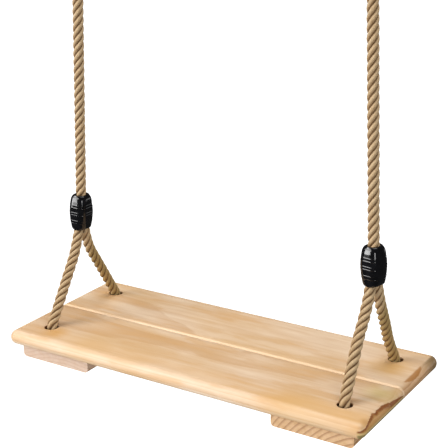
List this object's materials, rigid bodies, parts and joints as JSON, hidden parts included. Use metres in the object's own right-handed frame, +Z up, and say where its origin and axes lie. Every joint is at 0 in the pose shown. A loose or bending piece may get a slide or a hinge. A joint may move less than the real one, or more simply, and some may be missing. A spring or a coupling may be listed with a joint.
{
  "type": "rope swing seat",
  "caption": "Wooden plank swing seat on battens, hung by rope bridles that black clamps join to single ropes ending in clamped eyes on steel rings.",
  "frame": {"origin": "midway between the two rings, at the height where a hook bears on the inside of each ring's top", "axes": "+X along the seat to its right end, +Y from the seat's front edge to its rear edge, +Z up"},
  "size_m": [0.457, 0.196, 0.5735],
  "materials": {
    "plank_pine": "clear satin lacquer on pale pine",
    "batten_pine": "sawn and sanded pale pine",
    "rope_fibre": "four-strand twisted tan fibre rope",
    "clamp_plastic": "glossy moulded black plastic",
    "screw_steel": "bright zinc-plated steel",
    "ring_steel": "galvanised welded steel"
  },
  "bodies": {
    "rings": {"left_ring": "ring_steel", "right_ring": "ring_steel"},
    "hangers": {"left_upper_clamp_front_shell": "clamp_plastic", "left_upper_clamp_rear_shell": "clamp_plastic", "left_upper_clamp_screws": "screw_steel", "right_upper_clamp_front_shell": "clamp_plastic", "right_upper_clamp_rear_shell": "clamp_plastic", "right_upper_clamp_screws": "screw_steel", "left_rope_eye": "rope_fibre", "right_rope_eye": "rope_fibre"},
    "left_rope": {"left_rope": "rope_fibre"},
    "left_rope_bend": {"left_rope_bend": "rope_fibre"},
    "seat": {"front_plank": "plank_pine", "rear_plank": "plank_pine", "left_batten": "batten_pine", "right_batten": "batten_pine", "left_batten_screws": "screw_steel", "right_batten_screws": "screw_steel", "left_bridle_rope": "rope_fibre", "right_bridle_rope": "rope_fibre", "left_clamp_front_shell": "clamp_plastic", "left_clamp_rear_shell": "clamp_plastic", "left_clamp_screws": "screw_steel", "right_clamp_front_shell": "clamp_plastic", "right_clamp_rear_shell": "clamp_plastic", "right_clamp_screws": "screw_steel"},
    "right_rope_bend": {"right_rope_bend": "rope_fibre"},
    "right_rope": {"right_rope": "rope_fibre"}
  },
  "joints": [
    {"name": "swing", "type": "hinge", "parent": "rings", "child": "hangers", "pos_m": [0, 0, -0.048], "axis": [1, 0, 0], "range_deg": [-50, 50]},
    {"name": "sway", "type": "hinge", "parent": "hangers", "child": "left_rope", "pos_m": [-0.17853, 0, -0.123], "axis": [0, 1, 0], "range_deg": [-12, 12]},
    {"name": "left_bend", "type": "hinge", "parent": "left_rope", "child": "left_rope_bend", "pos_m": [-0.1873, 0, -0.346], "axis": [0, 1, 0], "range_deg": [-12, 12]},
    {"name": "seat_tilt", "type": "hinge", "parent": "left_rope_bend", "child": "seat", "pos_m": [-0.18871, 0, -0.382], "axis": [1, 0, 0], "range_deg": [-18, 18]},
    {"name": "right_tilt", "type": "hinge", "parent": "seat", "child": "right_rope_bend", "pos_m": [0.18871, 0, -0.382], "axis": [1, 0, 0], "range_deg": [-18, 18]},
    {"name": "right_bend", "type": "hinge", "parent": "right_rope_bend", "child": "right_rope", "pos_m": [0.1873, 0, -0.346], "axis": [0, 1, 0], "range_deg": [-12, 12]}
  ],
  "couplings": [
    {"joint": "left_bend", "follows": "sway", "ratio": -0.95322},
    {"joint": "right_tilt", "follows": "seat_tilt", "ratio": -1},
    {"joint": "right_bend", "follows": "sway", "ratio": 0.95322}
  ]
}
